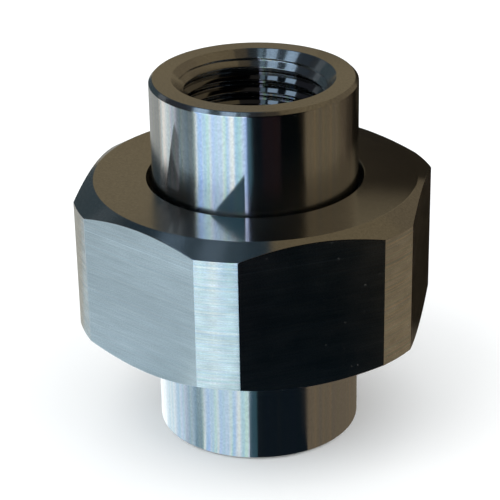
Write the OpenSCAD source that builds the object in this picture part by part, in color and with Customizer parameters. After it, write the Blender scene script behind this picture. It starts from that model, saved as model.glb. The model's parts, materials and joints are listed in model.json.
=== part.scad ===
// Threaded pipe union with a hexagon nut, drawn assembled and standing on its lower end.
// The origin is on the axis at the lower end's face, and +Z runs up along the pipe.
// Both pipe threads and the nut's own thread are drawn plain: the pipe threads at their
// minor diameter, as bored before threading, and the nut's thread about its pitch diameter.

/* [Pipe ends] */
// Outside diameter of both ends
end_d = 28; // [27:0.1:29]
// Chamfer round the outside of each end's face
end_chamfer = 0.5; // [0.2:0.1:0.9]
// Height of the lower end below its threaded flange
lower_end_h = 16; // [14:0.5:22]
// Length of the upper end above its collar
upper_end_h = 19; // [16:0.5:30]

/* [Pipe thread] */
// Major diameter of the internal pipe thread
pipe_major_d = 20.955; // [18:0.005:21.5]
// Pitch of the pipe thread
pipe_pitch = 1.814; // [1:0.001:2]
// Depth of the pipe thread from each end's face
pipe_thread_depth = 13; // [9:0.5:13.5]
// Diameter of the countersink at each end's face
countersink_d = 22.1; // [21.6:0.1:24]
// Included angle of the countersink
countersink_angle = 90; // [60:5:120]
// Diameter of the waterway between the two threads
waterway_d = 16; // [12:0.5:16]

/* [Ball seat] */
// Height of the threaded flange on the lower end
flange_h = 10; // [8:0.5:14]
// Angle between the conical seat and the axis
seat_angle = 45; // [40:1:50]
// Diameter of the conical seat's mouth in the flange's face
seat_mouth_d = 31.6; // [30:0.1:32]
// Radius of the ball nose on the upper end
ball_r = 15; // [14:0.25:16.5]
// Width of the flat land at the tip of the ball nose
nose_land = 0.9; // [0.4:0.1:1.4]
// Clearance drawn between the ball nose and the seat
seat_clearance = 0.1; // [0.05:0.01:0.3]
// Gap between the collar's underside and the flange's face
collar_gap = 1; // [0.5:0.1:2]

/* [Collar] */
// Thickness of the collar under the nut's lip
collar_h = 5; // [3.5:0.25:7]
// Radial clearance of the collar inside the nut's thread
collar_clearance = 0.4; // [0.2:0.05:0.8]
// Fillet where the collar meets the upper end
collar_fillet = 0.5; // [0.2:0.1:0.7]
// Chamfer on the collar's two outer edges
collar_chamfer = 0.5; // [0.2:0.1:1]

/* [Union thread] */
// Major diameter of the thread between the flange and the nut
union_major_d = 38; // [37:0.25:39.5]
// Pitch of that thread
union_pitch = 2; // [1:0.25:2.5]
// Radial clearance drawn between the two plain thread surfaces
union_clearance = 0.2; // [0.1:0.05:0.4]
// Fillet under the threaded flange
flange_fillet = 1; // [0.4:0.1:1.8]

/* [Nut] */
// Width of the nut across its flats
nut_af = 45.7; // [44:0.1:47]
// Diameter of the bar that the nut's rounded corners keep
nut_bar_d = 49.8; // [49:0.1:51]
// Diameter of the nut's two end faces
nut_face_d = 44; // [42:0.1:45]
// Angle of the nut's two conical chamfers above its end faces
nut_chamfer_angle = 30; // [20:1:40]
// Height of the nut
nut_h = 21.5; // [20.5:0.25:24]
// Thickness of the lip that bears on the collar
lip_h = 5; // [3:0.25:6]
// Radial clearance of the lip round the upper end
lip_clearance = 0.8; // [0.4:0.05:1]
// Height of the nut's thread above its lower face
nut_thread_h = 11; // [10:0.5:12]
// Depth of the run-out groove beyond the thread's major diameter
runout_depth = 0.3; // [0.1:0.1:0.8]
// How far the lead-in chamfer opens beyond the thread's major diameter
lead_in_depth = 0.5; // [0.2:0.1:1]
// How much wider the lip's inner chamfer is than the collar's fillet
lip_relief = 0.2; // [0.1:0.1:0.5]

/* [Hidden] */
$fn = 96;
steel = "#9aa0a3";
nut_steel = "#a9b4b9";
// How far a cut runs past the face that it starts from
past = 1;

// A 60 degree thread of basic form is cut 0.6134 of its pitch deep,
// and the 55 degree form of the pipe thread 0.6403 of it.
end_r = end_d / 2;
waterway_r = waterway_d / 2;
pipe_minor_r = pipe_major_d / 2 - 0.6403 * pipe_pitch;
countersink_h = (countersink_d / 2 - pipe_minor_r) / tan(countersink_angle / 2);
union_depth = 0.6134 * union_pitch;
union_minor_r = union_major_d / 2 - union_depth;
union_pitch_r = union_major_d / 2 - union_depth / 2;
flange_r = union_pitch_r - union_clearance / 2;
nut_thread_r = union_pitch_r + union_clearance / 2;

// Heights, stacked up from the lower face
flange_z = lower_end_h;
seat_z = flange_z + flange_h;
collar_z = seat_z + collar_gap;
shoulder_z = collar_z + collar_h;
top_z = shoulder_z + upper_end_h;
nut_top_z = shoulder_z + lip_h;
nut_z = nut_top_z - nut_h;

// The ball touches the cone where its normal is square to the cone's side.
seat_mouth_r = seat_mouth_d / 2;
contact_r = ball_r * cos(seat_angle);
contact_z = seat_z - (seat_mouth_r - contact_r) / tan(seat_angle);
ball_z = contact_z + ball_r * sin(seat_angle) + seat_clearance / sin(seat_angle);
seat_foot_z = seat_z - (seat_mouth_r - waterway_r) / tan(seat_angle);
nose_r = waterway_r + nose_land;
nose_z = ball_z - sqrt(ball_r * ball_r - nose_r * nose_r);
collar_r = union_minor_r - collar_clearance;
flange_chamfer = union_depth;

// One end's bore, opening at z = 0 and running up: countersink, tapping bore and the
// cone that brings it down to the waterway.
module pipe_bore() {
    step_h = pipe_minor_r - waterway_r;
    rotate_extrude()
        polygon([
            [0, -past],
            [countersink_d / 2 + past * tan(countersink_angle / 2), -past],
            [pipe_minor_r, countersink_h],
            [pipe_minor_r, pipe_thread_depth],
            [waterway_r, pipe_thread_depth + step_h],
            [waterway_r, pipe_thread_depth + step_h + past],
            [0, pipe_thread_depth + step_h + past]
        ]);
}

// The material left in an inside corner by a fillet of radius r, with the corner at the
// origin and its two sides along +X and +Y
module corner_fillet(r) {
    difference() {
        square(r);
        translate([r, r]) circle(r);
    }
}

// Lower end: a turned hub with the pipe thread inside, and a flange that carries the nut's
// thread outside and the conical seat in its face.
module threaded_end() {
    color(steel) difference() {
        rotate_extrude() {
            polygon([
                [0, 0],
                [end_r - end_chamfer, 0],
                [end_r, end_chamfer],
                [end_r, flange_z],
                [flange_r - flange_chamfer, flange_z],
                [flange_r, flange_z + flange_chamfer],
                [flange_r, seat_z - flange_chamfer],
                [flange_r - flange_chamfer, seat_z],
                [0, seat_z]
            ]);
            translate([end_r, flange_z]) mirror([0, 1]) corner_fillet(flange_fillet);
        }
        pipe_bore();
        cylinder(h = seat_z, r = waterway_r);
        translate([0, 0, seat_foot_z])
            cylinder(h = seat_z - seat_foot_z, r1 = waterway_r, r2 = seat_mouth_r);
    }
}

// Upper end: a turned hub with the pipe thread inside, the collar that the nut pulls down
// and the ball nose that closes on the seat.
module tail_end() {
    color(steel) difference() {
        union() {
            rotate_extrude() {
                polygon([
                    [0, collar_z],
                    [collar_r - collar_chamfer, collar_z],
                    [collar_r, collar_z + collar_chamfer],
                    [collar_r, shoulder_z - collar_chamfer],
                    [collar_r - collar_chamfer, shoulder_z],
                    [end_r, shoulder_z],
                    [end_r, top_z - end_chamfer],
                    [end_r - end_chamfer, top_z],
                    [0, top_z]
                ]);
                translate([end_r, shoulder_z]) corner_fillet(collar_fillet);
            }
            ball_nose();
        }
        translate([0, 0, top_z]) mirror([0, 0, 1]) pipe_bore();
        translate([0, 0, nose_z - past]) cylinder(h = top_z - nose_z, r = waterway_r);
    }
}

// The part of the ball below the collar, cut off flat at its tip
module ball_nose() {
    rotate_extrude() intersection() {
        translate([0, ball_z]) circle(ball_r);
        translate([0, nose_z]) square([ball_r, collar_z - nose_z]);
    }
}

// Hexagon left by milling six flats on the bar, with a corner towards -Y
module nut_blank() {
    bar_r = nut_bar_d / 2;
    face_r = nut_face_d / 2;
    chamfer_h = (bar_r - face_r) * tan(nut_chamfer_angle);
    intersection() {
        rotate([0, 0, 30])
            cylinder(h = nut_h, r = nut_af / 2 / cos(30), $fn = 6);
        rotate_extrude()
            polygon([
                [0, 0],
                [face_r, 0],
                [bar_r, chamfer_h],
                [bar_r, nut_h - chamfer_h],
                [face_r, nut_h],
                [0, nut_h]
            ]);
    }
}

// Nut: the bore above is the lip round the upper end, then the room for the collar with the
// thread's run-out groove, and below it the thread with its lead-in chamfer.
module union_nut() {
    lip_r = end_r + lip_clearance;
    major_r = union_major_d / 2;
    groove_r = major_r + runout_depth;
    mouth_r = major_r + lead_in_depth;
    lip_z = nut_h - lip_h;
    lip_chamfer = collar_fillet + lip_relief;
    color(nut_steel) translate([0, 0, nut_z]) difference() {
        nut_blank();
        rotate_extrude()
            polygon([
                [0, -past],
                [mouth_r + past, -past],
                [nut_thread_r, mouth_r - nut_thread_r],
                [nut_thread_r, nut_thread_h - (groove_r - nut_thread_r)],
                [groove_r, nut_thread_h],
                [groove_r, lip_z],
                [lip_r + lip_chamfer, lip_z],
                [lip_r, lip_z + lip_chamfer],
                [lip_r, nut_h + past],
                [0, nut_h + past]
            ]);
    }
}

threaded_end();
union_nut();
tail_end();
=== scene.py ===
# %% [markdown]
# # A threaded pipe union in turned stainless steel
# A union joins two pipes so that they can be parted again without turning either of them.
# It has a lower end and an upper end, each screwed onto a pipe, and a hexagon nut that draws
# the two together. All three pieces are turned from stainless bar on a lathe, and the nut's
# six flats are milled afterwards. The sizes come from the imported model, so that each piece
# made here lies exactly where that model has it.

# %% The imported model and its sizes
import json
import math
import bpy
import numpy as np
from mathutils import Matrix, Vector


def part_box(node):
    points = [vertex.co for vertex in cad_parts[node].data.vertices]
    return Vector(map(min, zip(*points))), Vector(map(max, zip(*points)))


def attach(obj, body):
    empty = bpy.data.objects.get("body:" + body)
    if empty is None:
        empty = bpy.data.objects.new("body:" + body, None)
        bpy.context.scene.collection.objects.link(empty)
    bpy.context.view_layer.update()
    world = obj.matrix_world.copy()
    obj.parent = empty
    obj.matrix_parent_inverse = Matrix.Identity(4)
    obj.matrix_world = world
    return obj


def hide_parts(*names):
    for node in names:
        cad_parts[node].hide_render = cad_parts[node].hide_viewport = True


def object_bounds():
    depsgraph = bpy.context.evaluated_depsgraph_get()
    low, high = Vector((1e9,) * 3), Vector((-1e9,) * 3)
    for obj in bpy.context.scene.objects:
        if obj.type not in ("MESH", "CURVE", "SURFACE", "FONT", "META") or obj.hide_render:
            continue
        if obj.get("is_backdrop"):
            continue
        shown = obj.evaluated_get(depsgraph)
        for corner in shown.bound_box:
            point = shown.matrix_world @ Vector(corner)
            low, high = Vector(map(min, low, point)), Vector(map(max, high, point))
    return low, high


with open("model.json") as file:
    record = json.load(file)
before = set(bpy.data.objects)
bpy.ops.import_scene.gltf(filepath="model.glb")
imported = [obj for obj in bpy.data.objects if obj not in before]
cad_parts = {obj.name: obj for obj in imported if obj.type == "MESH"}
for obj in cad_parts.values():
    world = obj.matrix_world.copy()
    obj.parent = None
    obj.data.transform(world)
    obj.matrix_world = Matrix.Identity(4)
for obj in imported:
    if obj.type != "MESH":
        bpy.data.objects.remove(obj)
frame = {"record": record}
cad_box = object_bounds()

MM = 0.001
lower_box = [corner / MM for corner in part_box("threaded_end")]
nut_box = [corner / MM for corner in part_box("union_nut")]
upper_box = [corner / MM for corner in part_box("tail_end")]
pipe_mount = frame["record"]["mounts"][0]["dims"]

TOP_Z = upper_box[1].z
NOSE_Z = upper_box[0].z
COLLAR_R = upper_box[1].x
FLANGE_TOP_Z = lower_box[1].z
NUT_LOW_Z = nut_box[0].z
NUT_TOP_Z = nut_box[1].z
NUT_HALF_FLATS = nut_box[1].x
NUT_BAR_R = nut_box[1].y
PIPE_MINOR_R = pipe_mount["r_mm"]
print(f"whole union {TOP_Z:.1f} mm tall, nut {2 * NUT_HALF_FLATS:.1f} mm across flats")

# %% [markdown]
# ## Sizes that both ends share
# The box of a piece gives its height and width. The turned diameters inside the box are read
# off the drawing, as a turner would, and each is written once and used by name. These belong
# to both pipe ends, and what only one piece needs stands in that piece's own step. All of
# them are in millimetres.

# %% Sizes of a pipe end
END_R = 14.0
END_CHAMFER = 0.5
WATERWAY_R = 8.0
COUNTERSINK_R = 11.05
PIPE_PITCH = 1.814
PIPE_THREAD_DEPTH = 13.0
print("a pipe end is", 2 * END_R, "mm across, with a waterway of", 2 * WATERWAY_R, "mm")

# %% [markdown]
# ## The camera
# The photograph looks down on the union from a little more than 25 degrees, with a long
# lens, so the upright lines stay nearly parallel. The camera stands where a fit of the
# union's circles and corners to the photograph puts it. It is built from three directions:
# one to its right, one up, and one from the target back to the camera.

# %% Camera
# Angles are in degrees; the distance, the target, the lens and the sensor are in millimetres.
CAMERA_AZIMUTH = 12.215
CAMERA_ELEVATION = 25.335
CAMERA_ROLL = -1.088
CAMERA_DISTANCE = 257.421
CAMERA_TARGET = (-0.876, -0.190, 25.427)
CAMERA_LENS = 133.908
SENSOR_WIDTH = 36.0


def direction(azimuth, elevation):
    """A unit vector; azimuth 0 points to -Y and grows towards +X."""
    a = math.radians(azimuth)
    e = math.radians(elevation)
    return Vector((math.sin(a) * math.cos(e), -math.cos(a) * math.cos(e), math.sin(e)))


def show(name, data):
    """A new object of the scene that holds this data."""
    made = bpy.data.objects.new(name, data)
    bpy.context.scene.collection.objects.link(made)
    return made


def stand_camera():
    """The camera at the photograph's viewing angle."""
    data = bpy.data.cameras.new("camera")
    data.lens = CAMERA_LENS
    data.sensor_width = SENSOR_WIDTH
    camera = show("camera", data)
    back = direction(CAMERA_AZIMUTH, CAMERA_ELEVATION)
    level = direction(CAMERA_AZIMUTH + 90.0, 0.0)
    turn = Matrix.Rotation(math.radians(CAMERA_ROLL), 3, back)
    right = turn @ level
    up = turn @ back.cross(level)
    place = Vector(CAMERA_TARGET) * MM + back * CAMERA_DISTANCE * MM
    axes = Matrix((right, up, back)).transposed().to_4x4()
    camera.matrix_world = Matrix.Translation(place) @ axes
    bpy.context.scene.camera = camera
    return camera


camera = stand_camera()
print("camera at", [round(c / MM, 1) for c in camera.location], "mm")

# %% [markdown]
# ## Colours and nodes
# Colours are written as sRGB hex, as a paint program shows them, and one function turns
# them into the linear values that a shader works with. One more function adds any node,
# with its settings and its links, so that a material reads as a list of what it holds.

# %% Helpers for materials


def linear(hex_colour):
    """An sRGB hex colour as linear red, green, blue and alpha, by the sRGB curve."""
    values = [int(hex_colour[i : i + 2], 16) / 255 for i in (1, 3, 5)]
    return [v / 12.92 if v <= 0.04045 else ((v + 0.055) / 1.055) ** 2.4 for v in values] + [1.0]


def add(tree, kind, settings=None, inputs=None):
    """Adds a node, sets its settings, and fills its inputs with values or links.

    A node among the inputs is linked from its first output.
    """
    made = tree.nodes.new(kind)
    for name, value in (settings or {}).items():
        setattr(made, name, value)
    for name, value in (inputs or {}).items():
        value = value.outputs[0] if isinstance(value, bpy.types.Node) else value
        if isinstance(value, bpy.types.NodeSocket):
            tree.links.new(value, made.inputs[name])
        else:
            made.inputs[name].default_value = value
    return made


def empty_material(name):
    """A new material with no nodes in it."""
    made = bpy.data.materials.new(name)
    made.use_nodes = True
    made.node_tree.nodes.clear()
    return made


print("half of full sRGB is", round(linear("#808080")[0], 3), "of full light")

# %% [markdown]
# ## The floor
# The union stands on a wide sheet of plain paper, almost white. It is matt, so it keeps the
# soft shadow at the union's foot and mirrors nothing, and it runs far past the picture's edge.

# %% Floor
FLOOR_COLOUR = "#FEFEFD"
FLOOR_HALF = 3.0
PAPER_ROUGHNESS = 0.4


def lay_floor():
    """A wide plane under the union, in a plain matt paper white; its half width is in metres."""
    h = FLOOR_HALF
    mesh = bpy.data.meshes.new("floor")
    mesh.from_pydata([(-h, -h, 0), (h, -h, 0), (h, h, 0), (-h, h, 0)], [], [(0, 1, 2, 3)])
    paper = empty_material("matt_paper_floor")
    tree = paper.node_tree
    shader = add(
        tree,
        "ShaderNodeBsdfDiffuse",
        inputs={"Color": linear(FLOOR_COLOUR), "Roughness": PAPER_ROUGHNESS},
    )
    add(tree, "ShaderNodeOutputMaterial", inputs={"Surface": shader})
    mesh.materials.append(paper)
    show("floor", mesh)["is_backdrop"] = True


lay_floor()
print("floor", 2 * FLOOR_HALF, "m wide")

# %% [markdown]
# ## An even sky
# A studio with pale walls lights an object evenly from every side, and the world does that
# here. The camera and the steel see it at a strength of 1, about as white as the floor, so no
# edge shows where the floor ends. All else is lit by a little more than that.

# %% World
SKY_COLOUR = "#F6F8FA"
SKY_STRENGTH = 1.15


def light_world():
    """An even pale sky that is plain white behind the floor's far edge."""
    world = bpy.data.worlds.new("studio")
    world.use_nodes = True
    tree = world.node_tree
    tree.nodes.clear()
    path = add(tree, "ShaderNodeLightPath")
    seen = path.outputs["Is Camera Ray"]
    for ray in ("Is Glossy Ray", "Is Transmission Ray"):
        seen = add(
            tree,
            "ShaderNodeMath",
            {"operation": "MAXIMUM"},
            {0: seen, 1: path.outputs[ray]},
        )
    strength = add(
        tree,
        "ShaderNodeMapRange",
        inputs={"Value": seen, "To Min": SKY_STRENGTH, "To Max": 1.0},
    )
    sky = add(
        tree,
        "ShaderNodeBackground",
        inputs={"Color": linear(SKY_COLOUR), "Strength": strength},
    )
    add(tree, "ShaderNodeOutputWorld", inputs={"Surface": sky})
    bpy.context.scene.world = world
    bpy.context.scene.view_settings.view_transform = "Standard"


light_world()
print("sky strength", SKY_STRENGTH)

# %% [markdown]
# ## Two soft lamps
# A softbox stands high on the left, and a wider and weaker one on the right. Together they
# give the faint shadow at the union's foot. They don't show in the steel: what polished steel
# shows is decided by the cards of the next steps.

# %% Lamps
UP = Vector((0.0, 0.0, 1.0))
# Degrees right of the camera, degrees up, distance and size in metres, and watts
LAMPS = {
    "key_softbox": (-48.0, 52.0, 0.9, 0.6, 1.4),
    "fill_softbox": (70.0, 40.0, 1.0, 0.8, 1.0),
}


def hang_lamp(name, azimuth, elevation, distance, size, watts):
    """A square softbox that looks at the middle of the union."""
    data = bpy.data.lights.new(name, "AREA")
    data.shape = "SQUARE"
    data.size = size
    data.energy = watts
    lamp = show(name, data)
    away = direction(CAMERA_AZIMUTH + azimuth, elevation)
    lamp.location = away * distance + UP * TOP_Z / 2 * MM
    lamp.rotation_euler = away.to_track_quat("Z", "Y").to_euler()
    lamp.visible_glossy = False


for lamp_name, lamp_place in LAMPS.items():
    hang_lamp(lamp_name, *lamp_place)
print("lamps:", *LAMPS)

# %% [markdown]
# ## Cards that the steel mirrors
# Polished steel has almost no colour of its own: it shows the room. A photographer of
# steelware therefore stands white, grey and black cards round the object. A card gives off
# its own colour, whatever light falls on it. The steel's fine grooves split a bright light a
# little, as a record does, so the brightest cards hold faint streaks of cream and cyan, and
# fewer of lavender. The streaks come from a noise that runs along the card.

# %% A card's material
# Degrees of the round ends that a streak takes up
STREAK_WIDTH = 3.6
# What a full streak adds to red, green and blue, as a share of the colour
CREAM_OR_CYAN = Vector((1.0, 0.45, 0.05))
LAVENDER = Vector((0.15, -0.12, 0.3))


def streaked(tree, along, colour, amount):
    """A colour that swings along a value between cream, cyan and lavender."""
    noise = add(
        tree,
        "ShaderNodeTexNoise",
        {"noise_dimensions": "1D"},
        {"W": along, "Scale": 1.0, "Detail": 1.0},
    )
    parts = add(tree, "ShaderNodeSeparateColor", inputs={0: noise.outputs["Color"]})
    warm = colour * CREAM_OR_CYAN * amount
    violet = colour * LAVENDER * amount
    # Both parts of the noise lie about one half, so half of each swing is taken off first.
    mixed = colour - warm - violet
    for part, swing in ((parts.outputs[0], warm), (parts.outputs[1], violet)):
        mixed = add(
            tree,
            "ShaderNodeVectorMath",
            {"operation": "MULTIPLY_ADD"},
            {0: part, 1: 2 * swing, 2: mixed},
        )
    return mixed


def card_material(name, colour, glow, painted_split_light):
    """A card that gives off its own colour, whatever light falls on it."""
    made = empty_material(name)
    tree = made.node_tree
    hue = linear(colour)
    if painted_split_light:
        turn = add(tree, "ShaderNodeAttribute", {"attribute_name": "turn"})
        cells = add(
            tree,
            "ShaderNodeMath",
            {"operation": "DIVIDE"},
            {0: turn.outputs["Fac"], 1: STREAK_WIDTH},
        )
        hue = streaked(tree, cells, Vector(hue[:3]), painted_split_light)
    shader = add(tree, "ShaderNodeEmission", inputs={"Color": hue, "Strength": glow})
    add(tree, "ShaderNodeOutputMaterial", inputs={"Surface": shader})
    return made


print("streaks are", STREAK_WIDTH, "degrees wide")

# %% [markdown]
# ## Putting up a card
# The cards show in the steel only: the camera, the floor and the shadows don't see them. A
# flag is one face. A card that bends round the union is a strip of faces between two edges,
# and each of its points keeps its turn, which the streaks are read from. Many cards form a
# row, where each one starts at the place where the last one ended.

# %% Putting up a card
CARD_STEPS = 12
cards = []


def put_card(name, points, colour, glow=1.0, painted_split_light=0.0, turns=None):
    """A card from its points in millimetres; with turns, its points are pairs of a strip."""
    faces = [tuple(range(len(points)))]
    if turns is not None:
        faces = [(i, i + 1, i + 3, i + 2) for i in range(0, len(points) - 2, 2)]
    mesh = bpy.data.meshes.new(name)
    mesh.from_pydata([spot * MM for spot in points], [], faces)
    mesh.materials.append(card_material(name, colour, glow, painted_split_light))
    if turns is not None:
        marks = mesh.attributes.new("turn", "FLOAT", "POINT")
        marks.data.foreach_set("value", turns)
    card = show(name, mesh)
    card.visible_camera = False
    card.visible_diffuse = False
    card.visible_shadow = False
    card.visible_transmission = False
    card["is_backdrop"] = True
    cards.append(card)


def card_row(start, row, edges):
    """Cards side by side from start degrees; edges gives a card's two edge points at a turn."""
    for name, end, colour, *look in row:
        turns = np.linspace(start, end, CARD_STEPS + 1)
        points = [spot for turn in turns for spot in edges(turn)]
        put_card(name, points, colour, *look, turns=np.repeat(turns, 2))
        start = end


print("a card in a row has", CARD_STEPS, "faces")

# %% [markdown]
# ## Cards on the floor
# The camera looks down, so an upright wall of the union mirrors the floor in front of it, and
# most cards lie there. Seen from the camera, the light along a bright card falls at one turn
# of the round ends. So each card is given by the place on the end where it stops, in degrees
# to the left (minus) or right of the camera. The higher a spot lies on the union, the farther
# out is the floor that it mirrors. The lower end shows the near row, the nut the middle row
# and the upper end the far row. All three go from white and sky blue on the left, through a
# dark stripe in front, to brown on the right.

# %% Cards on the floor
CARD_LIFT = 0.3
ROOM_R = 420.0
FOOT_D = 32.0
NUT_D = 88.0
SKY = "#C2DEF2"
BROWN = "#6C614E"
# Name, last degree, colour, and where it isn't plain the glow and the strength of its streaks
NEAR_ROW = [
    ("white_foot_left", -68.0, "#EDF5FB", 1.7),
    ("pale_foot_left", -57.0, "#D8EEFB", 1.45),
    ("sky_foot_left", -48.0, "#C3DAEF", 1.5),
    ("mist_foot_left", -40.0, "#C2DFF4"),
    ("grey_foot_left", -34.0, "#95B6C7"),
    ("window_foot", -6.0, SKY, 1.35, 1.2),
    ("slate_edge_foot", -1.5, "#3A5C68"),
    ("dark_foot", 28.0, "#151E26"),
    ("brown_foot_right", 90.0, "#766B5B"),
]
MIDDLE_ROW = [
    ("cream_nut_left", -67.0, "#BDBDB4"),
    ("pale_nut_left", -54.0, "#CBDDE5"),
    ("cloth_nut_left", -34.0, "#C3DDEC", 1.22),
    ("window_nut", -5.0, "#D6F3FF", 1.4),
    ("slate_edge_nut", -1.0, "#4B7280"),
    ("dark_nut", 28.0, "#000B12"),
    ("brown_nut_right", 60.0, "#8A7C64"),
    ("dark_nut_right", 90.0, "#0E0B08"),
]
FAR_ROW = [
    ("grey_edge_left", -61.5, "#B0B3B1"),
    ("cream_left", -53.0, "#F4FAFA", 1.25),
    ("mist_left", -47.5, "#D6E3F2"),
    ("grey_left", -39.0, "#7E8D94"),
    ("grey_edge", -33.6, "#5F6E75"),
    ("window_far", -11.0, SKY, 1.6, 2.2),
    ("window_edge", -4.2, "#9CC3E8", 1.6, 1.6),
    ("slate_edge", -2.0, "#4B7280"),
    ("dark_blue", 4.0, "#10161D"),
    ("dark_red", 14.0, "#261A1D"),
    ("black", 28.0, "#020303"),
    ("brown_right", 52.0, BROWN),
    ("dim_right", 60.0, "#5C5141"),
    ("dimmer_right", 67.0, "#3E362C"),
    ("dark_right", 90.0, "#0C0906"),
]


def floor_edges(turn, near, far):
    """Two places, near and far mm out, on the ray that the end mirrors at this turn."""
    foot = direction(CAMERA_AZIMUTH + turn, 0.0) * END_R + UP * CARD_LIFT
    ray = direction(CAMERA_AZIMUTH + 2 * turn, 0.0)
    return foot + ray * near, foot + ray * far


card_row(-90.0, NEAR_ROW, lambda turn: floor_edges(turn, 0.0, FOOT_D))
card_row(-90.0, MIDDLE_ROW, lambda turn: floor_edges(turn, FOOT_D, NUT_D))
card_row(-90.0, FAR_ROW, lambda turn: floor_edges(turn, NUT_D, ROOM_R))
print("cards on the floor:", len(cards))

# %% [markdown]
# ## Walls of the room
# The grooves draw a reflection out along the axis, from the floor up the walls, so a tall
# bright window stands on the left, where the floor's window cards end. Level faces, which are
# the end's face and the nut's upper face, mirror the walls behind the union: brown, and slate
# further left. All are given in the same degrees as the floor's cards.

# %% Walls
ROOM_Z = 420.0
WINDOW_Z = 330.0
WINDOW_START = -33.2
WINDOW_END = -4.25
NIGHT = "#07090B"
WALL_ROW = [
    ("dark_wall", 28.0, NIGHT),
    ("brown_wall_right", 75.0, BROWN),
    ("brown_wall_behind", 99.5, "#7C715B"),
    ("slate_wall_behind", 118.0, "#3E4B52"),
    ("dark_wall_left", 146.8, "#2C2D2A"),
]


def wall_edges(turn, low, high):
    """Two places on the wall, low and high mm up, that the end mirrors at this turn."""
    foot = direction(CAMERA_AZIMUTH + 2 * turn, 0.0) * ROOM_R
    return foot + UP * low, foot + UP * high


window_low = [("window_low", WINDOW_END, SKY, 2.3, 2.2)]
window_high = [("window_high", WINDOW_END, "#A2B3BC")]
card_row(WINDOW_START, window_low, lambda turn: wall_edges(turn, 0.0, WINDOW_Z))
card_row(WINDOW_START, window_high, lambda turn: wall_edges(turn, WINDOW_Z, ROOM_Z))
card_row(WINDOW_END, WALL_ROW, lambda turn: wall_edges(turn, 0.0, ROOM_Z))
print("room", ROOM_Z, "mm high, with a window", WINDOW_Z, "mm high")

# %% [markdown]
# ## Roof of the room
# The cone on top of the nut leans back so far that it mirrors what hangs straight above: a
# roof that is slate on the left and brown on the right. Towards the camera the roof is dark,
# and the cone in the bore mirrors that part, beside the panes of the next step.

# %% Roof
RIGHT = direction(CAMERA_AZIMUTH + 90.0, 0.0)
AHEAD = direction(CAMERA_AZIMUTH + 180.0, 0.0)
ROOF_FAR = 3 * ROOM_Z
ROOF_FRONT = -190.0
ROOF_SPLIT = 30.0
# Name, left, right, front and back in mm from the axis, and colour
ROOF_CARDS = [
    ("slate_roof", -ROOF_FAR, ROOF_SPLIT, ROOF_FRONT, ROOF_FAR, "#2C3D48"),
    ("brown_roof", ROOF_SPLIT, ROOF_FAR, ROOF_FRONT, ROOF_FAR, "#746851"),
    ("front_roof", -ROOF_FAR, ROOF_FAR, -ROOF_FAR, ROOF_FRONT, NIGHT),
]


def level_card(name, corners, height, colour):
    """A level card; its corners are in mm, to the right and away from the camera."""
    points = [RIGHT * x + AHEAD * y + UP * height for x, y in corners]
    put_card(name, points, colour)


for name, left, right, front, back, colour in ROOF_CARDS:
    corners = [(left, front), (right, front), (right, back), (left, back)]
    level_card(name, corners, ROOM_Z, colour)
print("roof", 2 * ROOF_FAR, "mm wide")

# %% [markdown]
# ## Panes over the bore
# The countersink and the thread's flanks lean at 45 degrees. At the back of the bore they
# mirror what hangs high up on the camera's side: in the photograph a row of pale panes, with
# dark bars between them. For each place round the bore, the mirror rule tells where a ray
# from the camera goes, and the cards hang there. A dark half disc just over the bore keeps
# the room's light out of the left half of the hole.

# %% Panes over the bore
DOME_R = 360.0
CONE_SLOPES = (40.0, 50.0)
PANE_ROW = [
    ("dark_before_panes", 3.8, "#33312F"),
    ("pane_slim", 7.8, "#7E97AA"),
    ("dark_after_slim", 10.0, "#141C22"),
    ("pane_a", 18.5, "#C0DFFF", 1.1),
    ("dark_between_panes", 26.0, "#1A2127"),
    ("pane_b", 35.5, "#C0DFFF", 1.2),
    ("slate_after_panes", 58.0, "#33353D"),
    ("grey_sliver", 66.0, "#757B82"),
]
HALF_DISC_R = 8.6
HALF_DISC_PAST = 0.3
HALF_DISC_LIFT = 0.2


def mirrored(turn, slope):
    """Way that the camera's ray leaves a surface that faces turn degrees right of the camera.

    A slope of 0 is an upright wall, 90 a level face.
    """
    back = direction(CAMERA_AZIMUTH, CAMERA_ELEVATION)
    facing = direction(CAMERA_AZIMUTH + turn, slope)
    return 2 * back.dot(facing) * facing - back


def dome_edges(turn):
    """Two places high up that the bore's cone mirrors, turn degrees right of its back."""
    return [UP * TOP_Z + mirrored(-turn, slope) * DOME_R for slope in CONE_SLOPES]


card_row(-14.0, PANE_ROW, dome_edges)
half_disc = [(-HALF_DISC_PAST, 0.0)]
for angle in np.radians(range(0, 151, 15)):
    half_disc.append((-HALF_DISC_R * math.sin(angle), HALF_DISC_R * math.cos(angle)))
level_card("flag_over_bore", half_disc, TOP_Z + HALF_DISC_LIFT, "#020203")
print("panes and bars over the bore:", len(PANE_ROW))

# %% [markdown]
# ## Small flags close to the steel
# A flag is a small card that darkens one patch of a mirror image. One makes the slate
# triangle at the foot of the upper end's bright band, and two end the pale streak on its left
# side in a slanted line. They stand just off the upper end, so they are given by their own
# corners, as degrees round the axis and heights. A last card stands upright behind the union
# and darkens the right part of the nut's upper face.

# %% Flags
FLAG_OFF = END_R + 0.9
FLAGS = {
    "slate_flag": ("#2F4A58", [(-23.5, 37.05), (-6.2, 37.05), (-6.2, 42.3)]),
    "grey_flag": ("#767F83", [(-56.0, 44.0), (-49.0, 40.0), (-48.5, 45.5), (-51.8, 47.6)]),
    "dark_flag": ("#4C5053", [(-61.4, 38.2), (-49.5, 38.2), (-49.0, 40.0), (-56.0, 44.0)]),
}
# Millimetres to the right and heights of the standing card's corners
STANDING_CORNERS = [(11.0, 30.0), (42.0, 30.0), (42.0, 58.3), (11.0, 58.3)]
STANDING_AWAY = 36.0

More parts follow.
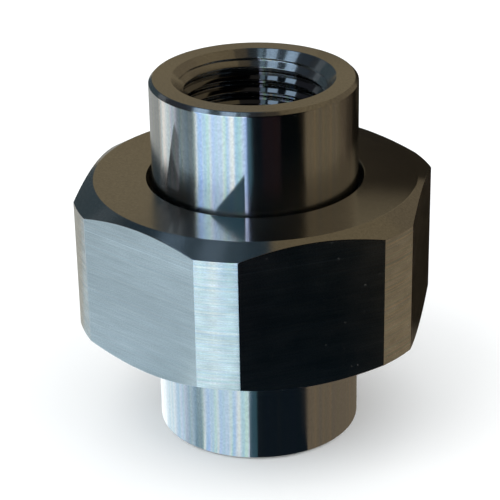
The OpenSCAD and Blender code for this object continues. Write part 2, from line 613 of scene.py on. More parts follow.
for name, (colour, corners) in FLAGS.items():
    points = []
    for turn, height in corners:
        points.append(direction(CAMERA_AZIMUTH + turn, 0.0) * FLAG_OFF + UP * height)
    put_card(name, points, colour)
points = [RIGHT * x + AHEAD * STANDING_AWAY + UP * z for x, z in STANDING_CORNERS]
put_card("dark_card_behind", points, "#2A251D")
print("cards in all:", len(cards))

# %% [markdown]
# ## Easing the corners of a section
# A lathe makes shapes of one kind: a section swept round an axis. Each corner of the section
# is eased by a tenth of a millimetre, as a deburred edge is, and that is what catches the
# light along real edges. A corner may carry its own ease, as a third number, where the
# drawing has a fillet. Where two lines nearly run on, as on the ball, the point stays and
# faces midway between them.

# %% Easing a section
EASE = 0.1
EASE_STEPS = 3
# An ease takes up at most this share of a line, so that two of them never meet.
EASE_SHARE = 0.4
SOFT_CORNER = 9.0


def eased(section):
    """A section's points with each corner eased, and the way that each point faces."""
    spots = np.array([p[:2] for p in section], float)
    eases = [p[2] if len(p) > 2 else EASE for p in section]
    ways = np.diff(spots, axis=0)
    lengths = np.linalg.norm(ways, axis=1)
    ways /= lengths[:, None]
    faces = np.stack([ways[:, 1], -ways[:, 0]], 1)
    points = [spots[0]]
    normals = [faces[0]]
    for i in range(1, len(spots) - 1):
        turn = math.atan2(
            ways[i - 1][0] * ways[i][1] - ways[i - 1][1] * ways[i][0],
            ways[i - 1] @ ways[i],
        )
        if abs(turn) < math.radians(SOFT_CORNER):
            points.append(spots[i])
            normals.append(faces[i - 1] + faces[i])
            continue
        cut = min(eases[i], EASE_SHARE * lengths[i - 1], EASE_SHARE * lengths[i])
        side = 1.0 if turn > 0 else -1.0
        radius = cut / math.tan(abs(turn) / 2)
        centre = spots[i] - ways[i - 1] * cut - side * faces[i - 1] * radius
        first = math.atan2(faces[i - 1][1], faces[i - 1][0])
        for step in range(EASE_STEPS + 1):
            angle = first + turn * step / EASE_STEPS
            faced = np.array([math.cos(angle), math.sin(angle)])
            points.append(centre + side * radius * faced)
            normals.append(faced)
    points.append(spots[-1])
    normals.append(faces[-1])
    return points, normals


print("eased square corner:", len(eased([(0, 0), (1, 0), (1, 1)])[0]), "points")

# %% [markdown]
# ## How a turned piece is made from rings
# A spin or a screw modifier would sweep a section, but a thread isn't quite such a shape,
# because its ridge climbs as it goes round. So each piece here is a skin of rings: a ring of
# points is laid at each corner of the section, and faces are laid between the rings. Every
# point also keeps the true direction that its surface faces, which gives a polished wall
# clean reflections with few faces. Each face has a finish, which is its place in the piece's
# list of materials: a wall is turned, and a face across the axis is faced.

# %% Skin of rings
TURN_COLUMNS = 288
ROUND = np.arange(TURN_COLUMNS) * 2 * math.pi / TURN_COLUMNS
TURNED = 0
FACED = 1
# Steepest line of a section, as rise over run, that still counts as across the axis
FACE_SLOPE = 1.1


class Skin:
    """Points, their directions and the faces between rings of them, round the axis."""

    def __init__(self, angles):
        self.angles = np.array(angles)
        self.points = []
        self.normals = []
        self.faces = []
        self.kinds = []
        self.count = 0

    def ring(self, radius, height, out, up, facing=None):
        """A ring of points; out and up give the way it faces. Returns their numbers."""
        n = len(self.angles)
        facing = self.angles if facing is None else facing
        radius, height, out, up = (np.broadcast_to(v, n) for v in (radius, height, out, up))
        spots = np.stack([radius * np.cos(self.angles), radius * np.sin(self.angles), height], 1)
        faced = np.stack([out * np.cos(facing), out * np.sin(facing), up], 1)
        return self.scatter(spots, faced)

    def scatter(self, spots, faced):
        """Adds points with their directions, and returns their numbers."""
        first = self.count
        self.points.append(spots)
        self.normals.append(faced / np.linalg.norm(faced, axis=1, keepdims=True))
        self.count += len(spots)
        return np.arange(first, self.count)

    def band(self, ring_a, ring_b, kind):
        """Faces from one ring to the next; kind is a finish, or one for each face."""
        n = len(ring_a)
        kind = np.broadcast_to(kind, n)
        for j in range(n):
            k = (j + 1) % n
            self.faces.append((ring_a[j], ring_a[k], ring_b[k], ring_b[j]))
            self.kinds.append(int(kind[j]))

    def follow(self, section):
        """Sweeps an eased section round the axis, and returns its first and last ring."""
        spots, faced = eased(section)
        rings = [self.ring(r, z, out, up) for (r, z), (out, up) in zip(spots, faced)]
        for i, (ring_a, ring_b) in enumerate(zip(rings, rings[1:])):
            run, rise = np.abs(spots[i + 1] - spots[i])
            self.band(ring_a, ring_b, FACED if rise < run * FACE_SLOPE else TURNED)
        return rings[0], rings[-1]


print("a round ring has", len(ROUND), "points")

# %% [markdown]
# ## How a thread is cut
# A thread is a ridge whose height depends only on how far a point lies from the ridge's
# middle, measured along the axis, and that middle climbs by one pitch in each turn. The rows
# of the mesh climb with it, so that a crest is one clean line of edges and never a
# staircase. The first and last rows are cut off square and join the rings of the section.
# All the threads are right-handed, so a row climbs as it goes anticlockwise, seen from above.

# %% Cutting a thread
# A row this close to the end of the thread, in mm, is cut off there.
ROW_MARGIN = 0.02
# How far to each side, in mm, a wall is felt to find the way that it faces
PROBE = 0.03


def wall_points(radius, angle, z):
    """Points on a wall whose radius is known at any angle and height, and their outward ways."""
    r = radius(angle, z)
    slope_z = (radius(angle, z + PROBE) - radius(angle, z - PROBE)) / (2 * PROBE)
    swing = PROBE / r
    slope_a = (radius(angle + swing, z) - radius(angle - swing, z)) / (2 * PROBE)
    outward = np.stack([np.cos(angle), np.sin(angle), 0 * z], 1)
    round_way = np.stack([-np.sin(angle), np.cos(angle), 0 * z], 1)
    faced = outward - slope_a[:, None] * round_way
    faced[:, 2] -= slope_z
    return np.stack([r * np.cos(angle), r * np.sin(angle), z], 1), faced


def cut_thread(skin, ring_a, ring_b, height_a, height_b, pitch, rows, radius, kind, inside):
    """Fills the wall between two rings with rows that follow the helix of a thread.

    Each pitch has so many rows. The radius is a function of angle and height, and kind is one
    that gives a face's finish from its height.
    """
    down = height_b < height_a
    step = -1 if down else 1
    turns = skin.angles / (2 * math.pi)
    count = math.ceil(rows * (abs(height_b - height_a) / pitch + 1))
    grid = []
    heights = []
    for k in range(count + 1):
        height = height_a + pitch * (turns - (0 if down else 1)) + step * pitch * k / rows
        past_a = (height - height_a) * step > ROW_MARGIN
        past_b = (height_b - height) * step <= ROW_MARGIN
        numbers = np.where(past_b, ring_b, ring_a)
        inner = past_a & ~past_b
        if inner.any():
            spots, faced = wall_points(radius, skin.angles[inner], height[inner])
            numbers[inner] = skin.scatter(spots, -faced if inside else faced)
        grid.append(numbers)
        heights.append(height)
    # One turn on, a row lies a whole pitch higher, so the last column joins another row.
    grid = [ring_a] * rows + grid + [ring_b] * rows
    last = len(skin.angles) - 1
    for k in range(rows, rows + count):
        for j in range(last + 1):
            k_next = k + (step * rows if j == last else 0)
            j_next = 0 if j == last else j + 1
            corners = (grid[k][j], grid[k_next][j_next], grid[k_next + 1][j_next], grid[k + 1][j])
            face = [c for i, c in enumerate(corners) if c != corners[i - 1]]
            if len(face) > 2:
                skin.faces.append(tuple(face))
                skin.kinds.append(kind(heights[k - rows][j]))


def from_crest(z, angle, pitch, crest_angle=0.0):
    """Distance along the axis from the nearest middle of the ridge."""
    climb = pitch * (angle - math.radians(crest_angle)) / (2 * math.pi)
    return np.abs((z - climb + pitch / 2) % pitch - pitch / 2)


print("half a turn on, a crest is", from_crest(0.0, math.pi, PIPE_PITCH), "mm higher")

# %% [markdown]
# ## The form of the pipe thread
# A pipe thread has straight flanks with a rounded crest and root. It is drawn with flanks of
# 45 degrees, which place the highlights in the bore as the photograph has them. The standard
# has steeper and deeper ones, but few of its turns are in view. Near the face the countersink
# cuts the crests away, and at its inner end the thread fades out over one pitch.

# %% Pipe thread
PIPE_FLANK = math.radians(45.0)
PIPE_TIP_R = 0.15
PIPE_ROWS = 20
# Where round the bore, in degrees, a crest stands at a height of 0
CREST_ANGLE = 139.0
# The section ends this far past its last corner, in mm, and the thread goes on from there.
LEAD = 0.15
COUNTERSUNK = 2
TAPPED = 3
# Depth in mm of the countersink and the first turn, which share one finish; deeper down, the thread
# has painted shade in its colour
PAINTED_SHADE_DEPTH = 2.8


def pipe_ridge(away):
    """Depth below the crest of the rounded pipe thread, at a distance from its middle."""
    tip_away = PIPE_TIP_R * math.cos(PIPE_FLANK)
    tip_depth = PIPE_TIP_R * (1 - math.sin(PIPE_FLANK))
    sharp = PIPE_PITCH / 2 / math.tan(PIPE_FLANK)
    depth = sharp - 2 * PIPE_TIP_R * (1 / math.sin(PIPE_FLANK) - 1)
    from_root = PIPE_PITCH / 2 - away
    crest_arc = np.sqrt(np.maximum(PIPE_TIP_R**2 - np.minimum(away, tip_away) ** 2, 0))
    root_arc = np.sqrt(np.maximum(PIPE_TIP_R**2 - np.minimum(from_root, tip_away) ** 2, 0))
    crest = PIPE_TIP_R - crest_arc
    root = depth - PIPE_TIP_R + root_arc
    side = tip_depth + (away - tip_away) / math.tan(PIPE_FLANK)
    return np.where(away < tip_away, crest, np.where(from_root < tip_away, root, side))


def pipe_wall(face_z, inward):
    """Radius of a bore with its countersink and pipe thread; inward is +1 or -1 along Z."""

    def radius(angle, z):
        depth = (z - face_z) * inward
        fade = np.clip((PIPE_THREAD_DEPTH - depth) / PIPE_PITCH, 0, 1)
        away = from_crest(z, angle, PIPE_PITCH, CREST_ANGLE)
        thread = PIPE_MINOR_R + pipe_ridge(away) * fade
        return np.maximum(thread, COUNTERSINK_R - depth)

    return radius


def pipe_finish(face_z):
    """The countersink and the first turn have one finish, the rest is as tapped, with painted shade
    in its colour.
    """

    def kind(z):
        return COUNTERSUNK if abs(z - face_z) < PAINTED_SHADE_DEPTH else TAPPED

    return kind


print("pipe thread depth", round(float(pipe_ridge(np.array([PIPE_PITCH / 2]))[0]), 3), "mm")

# %% [markdown]
# ## Bare steel with grooves round the axis
# Both ends are austenitic stainless steel, turned with a fine feed. The tool leaves grooves
# that run round the axis, finer than the eye can part. They spread a reflection along the
# axis and keep it sharp round it, which is why such steel shows upright bands of light and
# dark. In the shader that is a high anisotropy, with the tangent taken round Z and turned by
# a quarter.

# %% Bare steel
STEEL = Vector(linear("#C9C8C6")[:3])
QUARTER_TURN = 0.25


def steel_shader(tree, colour, roughness, anisotropy, bump, metallic=1.0):
    """Bare steel whose grooves run round the Z axis."""
    tangent = add(tree, "ShaderNodeTangent", {"direction_type": "RADIAL", "axis": "Z"})
    shader = add(
        tree,
        "ShaderNodeBsdfPrincipled",
        inputs={
            "Base Color": colour,
            "Metallic": metallic,
            "Roughness": roughness,
            "Anisotropic": anisotropy,
            "Anisotropic Rotation": QUARTER_TURN,
            "Tangent": tangent,
            "Normal": bump,
        },
    )
    add(tree, "ShaderNodeOutputMaterial", inputs={"Surface": shader})


print("steel reflects", [round(part, 2) for part in STEEL], "of red, green and blue")

# %% [markdown]
# ## Grain and smears
# Turned steel isn't quite the same all over. A fine grain changes its tone, and smears make it
# a little duller here and there. Both are noise whose patches have a size in millimetres, so
# one helper serves for the two.

# %% Grain and smears
GRAIN = 0.3
SMEAR = 8.0
# How far a smear takes the roughness down and up
SMEAR_SWING = (0.9, 1.15)
# Noise seldom leaves this span of its values.
NOISE_SPAN = (0.3, 0.7)


def patches(tree, place, size, detail, low, high):
    """A value that wanders from low to high, over patches of a size in millimetres."""
    noise = add(
        tree,
        "ShaderNodeTexNoise",
        inputs={"Vector": place, "Scale": 1 / (size * MM), "Detail": detail},
    )
    lowest, highest = NOISE_SPAN
    spread = {"From Min": lowest, "From Max": highest, "To Min": low, "To Max": high}
    return add(tree, "ShaderNodeMapRange", inputs={"Value": noise, **spread})


print("grain of", GRAIN, "mm and smears of", SMEAR, "mm")

# %% [markdown]
# ## Finely turned stainless steel
# The grooves themselves are a faint bump, read from height plus radius, which changes along a
# wall and along a face alike. They split white light a little, and that split light is painted
# into the steel's colour as upright streaks, whose cells are counted round the axis.

# %% Finely turned stainless steel
FEED_MARK = 0.22
STREAKS_PER_TURN = 100.0


def turned_stainless(name, roughness, anisotropy, groove_depth, painted_split_light, grain_tone, tone=1.0):
    """Steel with grooves round the axis; painted_split_light is how much split light is painted into
    its colour as streaks.
    """
    made = empty_material(name)
    tree = made.node_tree
    place = add(tree, "ShaderNodeTexCoord").outputs["Object"]
    x, y, z = add(tree, "ShaderNodeSeparateXYZ", inputs={0: place}).outputs
    across = add(tree, "ShaderNodeMath", {"operation": "MULTIPLY"}, {0: x, 1: x})
    across = add(tree, "ShaderNodeMath", {"operation": "MULTIPLY_ADD"}, {0: y, 1: y, 2: across})
    radius = add(tree, "ShaderNodeMath", {"operation": "SQRT"}, {0: across})
    along = add(tree, "ShaderNodeMath", inputs={0: z, 1: radius})
    # The real feed is about 0.08 mm. It is drawn at 0.22 mm, so that it shows at all.
    grooves = add(
        tree,
        "ShaderNodeTexNoise",
        {"noise_dimensions": "1D"},
        {"W": along, "Scale": 1 / (FEED_MARK * MM), "Detail": 1.0},
    )
    bump = add(
        tree,
        "ShaderNodeBump",
        inputs={"Height": grooves, "Strength": 1.0, "Distance": groove_depth * MM},
    )
    turn = add(tree, "ShaderNodeMath", {"operation": "ARCTAN2"}, {0: y, 1: x})
    cells = add(
        tree,
        "ShaderNodeMath",
        {"operation": "MULTIPLY"},
        {0: turn, 1: STREAKS_PER_TURN / (2 * math.pi)},
    )
    # The colour holds painted split light as streaks, and a tone below 1 is painted shade.
    tinted = streaked(tree, cells, STEEL * tone, painted_split_light)
    shade = patches(tree, place, GRAIN, 2.0, 1.0 - grain_tone, 1.0 + grain_tone)
    colour = add(tree, "ShaderNodeVectorMath", {"operation": "SCALE"}, {0: tinted, "Scale": shade})
    rough = patches(tree, place, SMEAR, 3.0, *(roughness * swing for swing in SMEAR_SWING))
    steel_shader(tree, colour, rough, anisotropy, bump)
    return made


print("grooves drawn every", FEED_MARK, "mm, and", STREAKS_PER_TURN, "streaks to a turn")

# %% [markdown]
# ## Four turned finishes
# An end is turned in four kinds of cut, and each one leaves its own polish. The walls, the
# faces, the countersinks and the threads therefore each get a finish. All four are made in the
# same way, with their own roughness, anisotropy and depth of groove.

# %% Four turned finishes
# The last, finest cut: the eye sees the room in sharp upright bands, with painted streaks of split
# light in its colour.
fine_turned = turned_stainless(
    "finely_turned_stainless_split_light", 0.18, anisotropy=1.0, groove_depth=0.0002, painted_split_light=0.25, grain_tone=0.08
)
# Faced across the axis: the bands run outwards from the bore and are a little softer.
faced = turned_stainless(
    "faced_stainless", 0.2, anisotropy=0.93, groove_depth=0.0001, painted_split_light=0.0, grain_tone=0.1
)
# Countersunk in one cut: the panes show clearly in it, drawn out down the cone.
countersunk = turned_stainless(
    "countersunk_stainless", 0.2, anisotropy=0.95, groove_depth=0.0002, painted_split_light=0.0, grain_tone=0.08
)
# A tap burnishes the flanks: small bright highlights in a thread whose colour is painted dark, as
# painted shade in its depth.
tapped = turned_stainless(
    "tapped_stainless_thread_painted_shade", 0.07, 0.3, groove_depth=0.0001, painted_split_light=0.0, grain_tone=0.05, tone=0.45
)
turned_finishes = [fine_turned, faced, countersunk, tapped]
print("turned finishes:", *(finish.name for finish in turned_finishes))

# %% [markdown]
# ## From a skin to a piece
# The skin's points become one mesh in metres. It rides on the body of the node that it stands
# for, so it moves with that body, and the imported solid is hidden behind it. The true
# directions of the points are handed over as custom normals.

# %% From a skin to a piece


def make_piece(name, skin, materials, node):
    """Turns a skin into a mesh object that rides on a body and stands for its CAD node."""
    mesh = bpy.data.meshes.new(name)
    mesh.from_pydata(np.concatenate(skin.points) * MM, [], skin.faces)
    mesh.polygons.foreach_set("material_index", skin.kinds)
    mesh.polygons.foreach_set("use_smooth", [True] * len(skin.faces))
    for material in materials:
        mesh.materials.append(material)
    mesh.normals_split_custom_set_from_vertices(np.concatenate(skin.normals))
    mesh.update()
    piece = show(name, mesh)
    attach(piece, node)
    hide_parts(node)
    triangles = sum(len(face) - 2 for face in skin.faces)
    print(name, "has", len(skin.faces), "faces,", triangles, "triangles")
    return piece


print("materials made so far:", len(bpy.data.materials))

# %% [markdown]
# ## The upper end
# One turned piece: the hub with its pipe thread, the collar under the nut's lip, and the
# ball nose that closes on the cone below. The section starts under the thread, runs down
# the waterway, round the nose and up the outside, and ends in the countersink. The thread is
# cut back down from there.

# %% Upper end
BALL_R = 15.0
# The ball's middle lies where the ball rests on the 45 degree seat, 0.1 mm clear of it.
BALL_Z = 31.555
BALL_STEPS = 16
COLLAR_LOW_Z = 27.0
COLLAR_TOP_Z = 32.0
COLLAR_CHAMFER = 0.5
COLLAR_FILLET = 0.5


def ball_outline():
    """The ball nose's outline, from its tip up to the collar."""
    start, end = (math.asin((z - BALL_Z) / BALL_R) for z in (NOSE_Z, COLLAR_LOW_Z))
    angles = np.linspace(start, end, BALL_STEPS + 1)
    return [(BALL_R * math.cos(a), BALL_Z + BALL_R * math.sin(a)) for a in angles]


def upper_end():
    """The turned upper end."""
    skin = Skin(ROUND)
    thread_z = TOP_Z - PIPE_THREAD_DEPTH
    section = [
        (PIPE_MINOR_R, thread_z + LEAD),
        (PIPE_MINOR_R, thread_z),
        (WATERWAY_R, thread_z - (PIPE_MINOR_R - WATERWAY_R)),
        (WATERWAY_R, NOSE_Z),
        *ball_outline(),
        (COLLAR_R - COLLAR_CHAMFER, COLLAR_LOW_Z),
        (COLLAR_R, COLLAR_LOW_Z + COLLAR_CHAMFER),
        (COLLAR_R, COLLAR_TOP_Z - COLLAR_CHAMFER),
        (COLLAR_R - COLLAR_CHAMFER, COLLAR_TOP_Z),
        (END_R, COLLAR_TOP_Z, COLLAR_FILLET),
        (END_R, TOP_Z - END_CHAMFER),
        (END_R - END_CHAMFER, TOP_Z),
        (COUNTERSINK_R, TOP_Z),
        (COUNTERSINK_R - LEAD, TOP_Z - LEAD),
    ]
    first, last = skin.follow(section)
    heights = (TOP_Z - LEAD, thread_z + LEAD)
    form = (PIPE_PITCH, PIPE_ROWS, pipe_wall(TOP_Z, -1), pipe_finish(TOP_Z))
    cut_thread(skin, last, first, *heights, *form, inside=True)
    make_piece("upper_end", skin, turned_finishes, "tail_end")


upper_end()

# %% [markdown]
# ## The union's own thread
# The thread between nut and flange is metric: its flanks stand at 60 degrees to each other,
# and its crests and roots are flat. Both halves are cut from one form. The outer one is moved
# in by a little and the inner one out, which leaves the play that lets the nut turn.

# %% The union's own thread
UNION_MAJOR_R = 19.0
UNION_MINOR_R = 17.773
UNION_PITCH = 2.0
UNION_ROWS = 16
# The pitch line of a 60 degree thread lies this share of a pitch inside its major radius.
PITCH_LINE = 0.32476
UNION_FLANK = math.radians(60.0)
THREAD_SPARE = 0.03


def union_ridge(away, crest, root, spare):
    """Radius of the 60 degree thread of the union; spare moves its sides outwards."""
    pitch_r = UNION_MAJOR_R - PITCH_LINE * UNION_PITCH
    side = pitch_r + (UNION_PITCH / 4 - away) * math.tan(UNION_FLANK) + spare
    return np.clip(side, root, crest)


def all_tapped(z):
    """A thread with one finish at every height."""
    return TAPPED


print("union thread", 2 * UNION_MAJOR_R, "mm across, pitch", UNION_PITCH, "mm")

# %% [markdown]
# ## The lower end
# The lower end is turned in the same way, and carries two threads: the pipe thread inside,
# opening downwards, and the nut's thread round its flange. The cone in the flange's upper
# face is the seat that the ball nose is pressed into.

# %% Lower end
FLANGE_LOW_Z = 16.0
FLANGE_FILLET = 1.0
FLANGE_FACE_R = 17.06
SEAT_MOUTH_R = 15.8


def flange_wall(angle, z):
    """Radius of the flange with its thread and the chamfers at both ends of it."""
    away = from_crest(z, angle, UNION_PITCH)
    thread = union_ridge(away, UNION_MAJOR_R, UNION_MINOR_R, -THREAD_SPARE)
    from_end = np.minimum(z - FLANGE_LOW_Z, FLANGE_TOP_Z - z)
    return np.minimum(thread, FLANGE_FACE_R + from_end)


def lower_end():
    """The turned lower end with its flange and seat."""
    skin = Skin(ROUND)
    seat_foot_z = FLANGE_TOP_Z - (SEAT_MOUTH_R - WATERWAY_R)
    outside = [
        (COUNTERSINK_R - LEAD, LEAD),
        (COUNTERSINK_R, 0.0),
        (END_R - END_CHAMFER, 0.0),
        (END_R, END_CHAMFER),
        (END_R, FLANGE_LOW_Z, FLANGE_FILLET),
        (FLANGE_FACE_R, FLANGE_LOW_Z),
        (FLANGE_FACE_R + LEAD, FLANGE_LOW_Z + LEAD),
    ]
    inside = [
        (FLANGE_FACE_R + LEAD, FLANGE_TOP_Z - LEAD),
        (FLANGE_FACE_R, FLANGE_TOP_Z),
        (SEAT_MOUTH_R, FLANGE_TOP_Z),
        (WATERWAY_R, seat_foot_z),
        (WATERWAY_R, PIPE_THREAD_DEPTH + PIPE_MINOR_R - WATERWAY_R),
        (PIPE_MINOR_R, PIPE_THREAD_DEPTH),
        (PIPE_MINOR_R, PIPE_THREAD_DEPTH - LEAD),
    ]
    outside_first, outside_last = skin.follow(outside)
    inside_first, inside_last = skin.follow(inside)
    heights = (FLANGE_LOW_Z + LEAD, FLANGE_TOP_Z - LEAD)
    form = (UNION_PITCH, UNION_ROWS, flange_wall, all_tapped)
    cut_thread(skin, outside_last, inside_first, *heights, *form, inside=False)
    heights = (PIPE_THREAD_DEPTH - LEAD, LEAD)
    form = (PIPE_PITCH, PIPE_ROWS, pipe_wall(0.0, 1), pipe_finish(0.0))
    cut_thread(skin, inside_last, outside_first, *heights, *form, inside=True)
    make_piece("lower_end", skin, turned_finishes, "threaded_end")


lower_end()

# %% [markdown]
# ## Marks of a milling cutter
# The nut is turned from 50 mm bar, and six flats are milled on it. A milling cutter leaves
# its marks in nearly level lines across each flat. They are drawn as noise that is stretched
# along the flat. It is read from each flat's own millimetres, which the nut's mesh keeps for
# every point, so the marks run level on all six flats.

# %% Cutter marks
# Length and height of a mark in mm, and how much lighter or darker it is
MILL_MARKS = [(6.0, 0.16, 0.08), (0.2, 0.14, 0.13), (9.0, 0.7, 0.05), (5.0, 2.5, 0.06)]
BAR_MARKS = [(5.0, 0.14, 0.1), (0.3, 0.14, 0.08), (3.0, 1.2, 0.12)]
# The span of the noise in two dimensions, which swings a little further
MARK_SPAN = (0.25, 0.75)


def cutter_marks(tree, place, length, height, low, high):
    """Marks with cells of the given millimetres, as a value that goes from low to high."""
    cells = add(
        tree,
        "ShaderNodeVectorMath",
        {"operation": "DIVIDE"},
        {0: place, 1: (length, height, 1.0)},
    )
    noise = add(
        tree,
        "ShaderNodeTexNoise",
        {"noise_dimensions": "2D"},
        {"Vector": cells, "Scale": 1.0, "Detail": 2.0},
    )
    lowest, highest = MARK_SPAN
    spread = {"From Min": lowest, "From Max": highest, "To Min": low, "To Max": high}
    return add(tree, "ShaderNodeMapRange", inputs={"Value": noise, **spread})


print("sets of marks on a flat:", len(MILL_MARKS), "and on the bar:", len(BAR_MARKS))

# %% [markdown]
# ## A painted highlight at the end of a pass, and nicks
# The cutter's second pass ends near the top of each flat. A faint bright line there is a painted
# highlight, and the steel is painted a little paler towards it. Handling leaves small nicks. A
# nick scatters light every way, so it shows as a pale speck on a dark flat. A metal value a
# little under 1 does that: the part that is missing scatters light like a matt surface.

# %% Pass edge highlight and nicks
PASS_EDGE_Z = 33.7
PASS_EDGE_W = 0.06
# Millimetres below and above the edge over which the steel is painted paler
HIGHLIGHT_FADE = (7.0, 0.5)
NICK_EVERY = 3.4
NICK_SIZE = 0.07
NICK_METAL = 0.965


def pass_highlight_tone(tree, height, amount):
    """A painted highlight: a tone that rises by an amount towards the pass edge, and once more along
    its line.
    """
    edge = add(
        tree,
        "ShaderNodeMath",
        {"operation": "COMPARE"},
        {0: height, 1: PASS_EDGE_Z, 2: PASS_EDGE_W},
    )
    above = add(
        tree,
        "ShaderNodeMapRange",
        inputs={
            "Value": height,
            "From Min": PASS_EDGE_Z - HIGHLIGHT_FADE[0],
            "From Max": PASS_EDGE_Z + HIGHLIGHT_FADE[1],
            "To Min": 1.0,
            "To Max": 1.0 + amount,
        },
    )
    return add(
        tree,
        "ShaderNodeMath",
        {"operation": "MULTIPLY_ADD"},
        {0: edge, 1: amount, 2: above},
    )


def nicked_metal(tree, place):
    """How metallic the steel is: fully, but for a nick every few millimetres."""
    nicks = add(
        tree,
        "ShaderNodeTexVoronoi",
        {"voronoi_dimensions": "2D"},
        {"Vector": place, "Scale": 1 / NICK_EVERY},
    )
    return add(
        tree,
        "ShaderNodeMapRange",
        inputs={
            "Value": nicks.outputs["Distance"],
            "From Min": NICK_SIZE / NICK_EVERY,
            "From Max": 2 * NICK_SIZE / NICK_EVERY,
            "To Min": NICK_METAL,
            "To Max": 1.0,
        },
    )


print("pass edge at", PASS_EDGE_Z, "mm, a nick every", NICK_EVERY, "mm")

# %% [markdown]
# ## Milled flats and bare bar
# Between two flats a narrow strip of the bar's own round surface is left. It is polished more
# than the flats, so it shines brighter, while a flat shines softly and shows no clear picture
# of the room. Both are built in the same way, with their own sets of marks. Tone is multiplied
# by each set in turn, level rows of faint colour are laid over it, and the finest set is a
# bump as well.

# %% Milled flats and bar
TINT_ROW = 0.35
BUMP_MARK = (6.0, 0.16)
BUMP_DEPTH = 0.0004
DULL_MARK = (5.0, 2.5)
# How far a dull mark takes the roughness down and up. On a flat it stays over 0.28, because
# the denoiser draws dark squiggles where a roughness crosses from just below that to above.
DULL_SWING = (0.95, 1.1)


def milled_stainless(name, roughness, anisotropy, marks, tilt, tint, pass_highlight):
    """Steel with nearly level cutter marks, read from each flat's own millimetres."""
    made = empty_material(name)
    tree = made.node_tree
    flat = add(tree, "ShaderNodeAttribute", {"attribute_name": "flat_mm"}).outputs["Vector"]
    tilted = add(
        tree,
        "ShaderNodeVectorRotate",
        {"rotation_type": "Z_AXIS"},
        {"Vector": flat, "Angle": math.radians(-tilt)},
    )
    height = add(tree, "ShaderNodeSeparateXYZ", inputs={0: flat}).outputs[1]
    # The tone starts from the painted highlight at the pass edge.
    tone = pass_highlight_tone(tree, height, pass_highlight)
    for length, width, contrast in marks:
        pattern = cutter_marks(tree, tilted, length, width, 1 - contrast, 1 + contrast)
        tone = add(tree, "ShaderNodeMath", {"operation": "MULTIPLY"}, {0: tone, 1: pattern})
    rows = add(tree, "ShaderNodeMath", {"operation": "DIVIDE"}, {0: height, 1: TINT_ROW})
    tinted = streaked(tree, rows, STEEL, tint)
    colour = add(tree, "ShaderNodeVectorMath", {"operation": "SCALE"}, {0: tinted, "Scale": tone})
    finest = cutter_marks(tree, tilted, *BUMP_MARK, 0.0, 1.0)
    bump = add(
        tree,
        "ShaderNodeBump",
        inputs={"Height": finest, "Strength": 1.0, "Distance": BUMP_DEPTH * MM},
    )
    rough = cutter_marks(tree, tilted, *DULL_MARK, *(roughness * swing for swing in DULL_SWING))
    metal = nicked_metal(tree, tilted)
    steel_shader(tree, colour, rough, anisotropy, bump, metal)
    return made


# Milled: a soft, even sheen with level lines in it, and a painted highlight at the end of the pass.
milled = milled_stainless(
    "milled_stainless_flat", 0.3, 0.8, MILL_MARKS, tilt=1.0, tint=0.05, pass_highlight=0.28
)
# Turned and polished bar: brighter, with level rows of faint colour.
bar = milled_stainless(
    "turned_stainless_bar", 0.24, 0.85, BAR_MARKS, tilt=0.0, tint=0.22, pass_highlight=0.0
)
print("nut finishes:", milled.name, bar.name)

# %% [markdown]
# ## The columns of the nut
# The nut's outside isn't round, so its columns are spaced to fall on the corners between
# flats and bar strips. On a flat the wall lies further out towards the corners. A flat's
# columns all face the same way, and a bar strip's columns each face outwards. Between the two
# lies one narrow eased corner, which shines as the bar does.

# %% Columns of the nut
FLAT_STEPS = 24
BAR_STEPS = 10
CORNER_EASE = 0.07
FLAT = 4
BAR = 5


def nut_columns():
    """Angle, wall radius, facing angle, finish, place across its side, and side of each."""
    reach = math.acos(NUT_HALF_FLATS / NUT_BAR_R)
    slip = CORNER_EASE / NUT_BAR_R
    rows = []
    for side in range(6):
        middle = side * math.pi / 3
        for angle in np.linspace(-reach + slip, reach - slip, FLAT_STEPS + 1):
            wall = NUT_HALF_FLATS / math.cos(angle)
            across = NUT_HALF_FLATS * math.tan(angle)
            rows.append((middle + angle, wall, middle, FLAT, across, side))
        for angle in np.linspace(reach + slip, math.pi / 3 - reach - slip, BAR_STEPS + 1):
            across = NUT_BAR_R * (angle - math.pi / 6)
            rows.append((middle + angle, NUT_BAR_R, middle + angle, BAR, across, side + 0.5))
    columns = np.array(rows)
    kinds = columns[:, 3].astype(int)
    kinds[np.roll(kinds, -1) != kinds] = BAR
    return columns, kinds


columns, column_kinds = nut_columns()
print("columns of the nut:", len(columns))

# %% [markdown]
# ## The inside of the nut
# Inside the nut is round: the lip that bears on the collar, the room for the collar, and the
# thread. The thread runs out into a groove above it, and widens into a lead-in below, where
# the flange enters it.

# %% Inside of the nut
LIP_R = 14.8
LIP_CHAMFER = 0.7
GROOVE_R = 19.3
GROOVE_CORNER = 0.3
GROOVE_LOW_Z = NUT_LOW_Z + 11.0
MOUTH_R = 19.5
NUT_FACE_R = 22.0
NUT_ROOT_R = UNION_MAJOR_R + 0.1
NUT_CREST_R = UNION_MAJOR_R - 1.08
NUT_LEAD = 0.1


def nut_thread_wall(angle, z):
    """Radius of the nut's thread with its lead-in and its run-out into the groove."""
    away = from_crest(z, angle, UNION_PITCH)
    thread = union_ridge(away, NUT_ROOT_R, NUT_CREST_R, THREAD_SPARE)
    lead_in = MOUTH_R - (z - NUT_LOW_Z)
    run_out = GROOVE_R - (GROOVE_LOW_Z - z)
    return np.maximum(thread, np.maximum(lead_in, run_out))


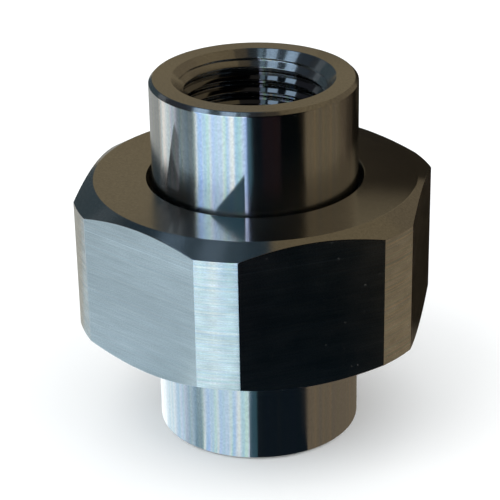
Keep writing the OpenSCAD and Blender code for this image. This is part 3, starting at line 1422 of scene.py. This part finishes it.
def nut_inside(skin):
    """Lip, collar room, groove and thread; returns the last ring below and the first above."""
    thread_low = [
        (MOUTH_R - NUT_LEAD, NUT_LOW_Z + NUT_LEAD),
        (MOUTH_R, NUT_LOW_Z),
        (NUT_FACE_R - CORNER_EASE, NUT_LOW_Z),
    ]
    lip_and_groove = [
        (NUT_FACE_R - CORNER_EASE, NUT_TOP_Z),
        (LIP_R, NUT_TOP_Z),
        (LIP_R, COLLAR_TOP_Z + LIP_CHAMFER),
        (LIP_R + LIP_CHAMFER, COLLAR_TOP_Z),
        (GROOVE_R, COLLAR_TOP_Z, GROOVE_CORNER),
        (GROOVE_R, GROOVE_LOW_Z),
        (GROOVE_R - NUT_LEAD, GROOVE_LOW_Z - NUT_LEAD),
    ]
    top_first, top_last = skin.follow(lip_and_groove)
    low_first, low_last = skin.follow(thread_low)
    heights = (GROOVE_LOW_Z - NUT_LEAD, NUT_LOW_Z + NUT_LEAD)
    form = (UNION_PITCH, UNION_ROWS, nut_thread_wall, all_tapped)
    cut_thread(skin, top_last, low_first, *heights, *form, inside=True)
    return low_last, top_first


print("lip bore", 2 * LIP_R, "mm, collar room", 2 * GROOVE_R, "mm across")

# %% [markdown]
# ## The union nut
# The cone turned on both ends of the nut meets each flat in the curved edge that every turned
# nut has. It needs no cutting here: the wall's height at each column follows from how far out
# that column lies. Each point also keeps its place across its own side and its height, in
# millimetres, for the cutter's marks.

# %% Union nut
NUT_CHAMFER = math.radians(30.0)
# Millimetres between the marks of two sides, so that no two sides look the same
SIDE_SHIFT = 60.0


def nut_outside(skin, low_ring, top_ring):
    """The cones and the wall between two rings of the end faces; returns the rings between."""
    wall = columns[:, 1]
    slope = math.tan(NUT_CHAMFER)
    out = math.sin(NUT_CHAMFER)
    up = math.cos(NUT_CHAMFER)
    drop = (wall - NUT_FACE_R) * slope
    low = NUT_LOW_Z + drop
    high = NUT_TOP_Z - drop
    e = CORNER_EASE
    rings = [
        low_ring,
        skin.ring(NUT_FACE_R + e, NUT_LOW_Z + e * slope, out, -up),
        skin.ring(wall - e, low - e * slope, out, -up),
        skin.ring(wall, low + e, 1.0, 0.0, columns[:, 2]),
        skin.ring(wall, high - e, 1.0, 0.0, columns[:, 2]),
        skin.ring(wall - e, high + e * slope, out, up),
        skin.ring(NUT_FACE_R + e, NUT_TOP_Z - e * slope, out, up),
        top_ring,
    ]
    kinds = [FACED, FACED, FACED, column_kinds, FACED, FACED, FACED]
    for ring_a, ring_b, kind in zip(rings, rings[1:], kinds):
        skin.band(ring_a, ring_b, kind)
    return rings[1:-1]


def union_nut():
    """The hexagon nut with its lip, collar room and thread."""
    skin = Skin(columns[:, 0])
    rings = nut_outside(skin, *nut_inside(skin))
    finishes = turned_finishes + [milled, bar]
    nut = make_piece("union_nut_piece", skin, finishes, "union_nut")
    flat_mm = np.zeros((skin.count, 3), np.float32)
    flat_mm[:, 1] = np.concatenate(skin.points)[:, 2]
    for ring in rings:
        flat_mm[ring, 0] = columns[:, 4] + columns[:, 5] * SIDE_SHIFT
    marks = nut.data.attributes.new("flat_mm", "FLOAT_VECTOR", "POINT")
    marks.data.foreach_set("vector", flat_mm.ravel())


union_nut()

# %% [markdown]
# ## The box of the finished model
# The boxes of the imported model and of the dressed model are both taken, and the dressed one is
# printed. The dressed model has to stay inside the imported one.

visual_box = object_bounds()
boxes = {
    "cad": [list(corner) for corner in cad_box],
    "visual": [list(corner) for corner in visual_box],
}
print("visual box", [[round(v / MM, 2) for v in corner] for corner in boxes["visual"]])
